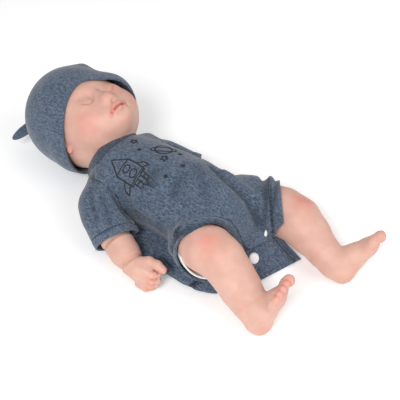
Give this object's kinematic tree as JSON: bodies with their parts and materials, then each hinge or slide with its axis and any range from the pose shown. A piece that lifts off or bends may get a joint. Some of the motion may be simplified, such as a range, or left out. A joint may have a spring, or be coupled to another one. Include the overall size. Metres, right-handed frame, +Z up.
{
  "type": "interactive baby doll",
  "caption": "Sleeping newborn doll lying on its back, vinyl head and swivel limbs on a hard trunk with a sound module, in a knitted romper and knotted hat.",
  "frame": {"origin": "on the floor under the middle of the trunk, where its back rests", "axes": "+X from head to feet, +Y towards the doll's own left, +Z up from the floor to the belly"},
  "size_m": [0.4125, 0.1877, 0.1166],
  "materials": {
    "skin": "soft matte vinyl with painted blush",
    "jersey": "blue-grey heather jersey knit",
    "rib": "darker ribbed knit",
    "nappy": "white nonwoven",
    "snap_cap": "white moulded cap",
    "shell": "skin-coloured moulded plastic",
    "white_plastic": "moulded",
    "black_plastic": "moulded",
    "cell": "plain shrink wrap",
    "board": "solder-masked board",
    "wire": "PVC insulated",
    "steel": "plated"
  },
  "bodies": {
    "torso": {"torso_front_shell": "shell", "torso_back_shell": "shell", "torso_screw_1": "steel", "torso_screw_2": "steel", "torso_screw_3": "steel", "torso_screw_4": "steel", "battery_box": "black_plastic", "battery_door": "shell", "battery_door_screw": "steel", "battery_cell_1": "cell", "battery_cell_2": "cell", "battery_cell_3": "cell", "contact_spring_1": "steel", "contact_spring_2": "steel", "contact_spring_3": "steel", "circuit_board": "board", "speaker_frame": "steel", "speaker_cone": "black_plastic", "touch_switch": "black_plastic", "power_switch_body": "black_plastic", "battery_wire": "wire", "speaker_wire": "wire", "neck_bush": "white_plastic", "right_shoulder_bush": "white_plastic", "left_shoulder_bush": "white_plastic", "right_hip_bush": "white_plastic", "left_hip_bush": "white_plastic", "belly_pad_spring": "steel", "nappy": "nappy", "romper_front": "jersey", "romper_back": "jersey", "romper_neckband": "rib", "snap_1": "snap_cap", "snap_2": "snap_cap", "snap_3": "snap_cap"},
    "belly_pad": {"belly_pad": "white_plastic"},
    "power_slider": {"power_slider": "white_plastic"},
    "head": {"head": "skin", "neck_plug": "white_plastic", "neck_clip": "steel", "hat": "jersey", "hat_tail": "jersey"},
    "right_arm": {"right_arm": "skin", "right_shoulder_plug": "white_plastic", "right_shoulder_clip": "steel", "right_sleeve": "jersey"},
    "right_leg": {"right_leg": "skin", "right_hip_plug": "white_plastic", "right_hip_clip": "steel", "right_romper_leg": "jersey"},
    "left_arm": {"left_arm": "skin", "left_shoulder_plug": "white_plastic", "left_shoulder_clip": "steel", "left_sleeve": "jersey"},
    "left_leg": {"left_leg": "skin", "left_hip_plug": "white_plastic", "left_hip_clip": "steel", "left_romper_leg": "jersey"}
  },
  "joints": [
    {"name": "neck_turn", "type": "hinge", "parent": "torso", "child": "head", "pos_m": [-0.095, 0.001, 0.044], "axis": [-0.9692, 0.1413, 0.2019], "range_deg": [-45, 45]},
    {"name": "right_shoulder_swivel", "type": "hinge", "parent": "torso", "child": "right_arm", "pos_m": [-0.078, -0.035, 0.04], "axis": [0, -1, 0], "range_deg": [-12, 95]},
    {"name": "left_shoulder_swivel", "type": "hinge", "parent": "torso", "child": "left_arm", "pos_m": [-0.078, 0.035, 0.04], "axis": [0, -1, 0], "range_deg": [-12, 95]},
    {"name": "right_hip_swivel", "type": "hinge", "parent": "torso", "child": "right_leg", "pos_m": [0.034, -0.025, 0.035], "axis": [0, -1, 0], "range_deg": [-50, 6]},
    {"name": "left_hip_swivel", "type": "hinge", "parent": "torso", "child": "left_leg", "pos_m": [0.034, 0.025, 0.035], "axis": [0, -1, 0], "range_deg": [-12, 45]},
    {"name": "belly_press", "type": "slide", "parent": "torso", "child": "belly_pad", "axis": [0, 0, -1], "range_m": [0, 0.0018], "stiffness_N_per_m": 400, "springref_m": -0.003},
    {"name": "power_slide", "type": "slide", "parent": "torso", "child": "power_slider", "axis": [1, 0, 0], "range_m": [0, 0.004]}
  ]
}
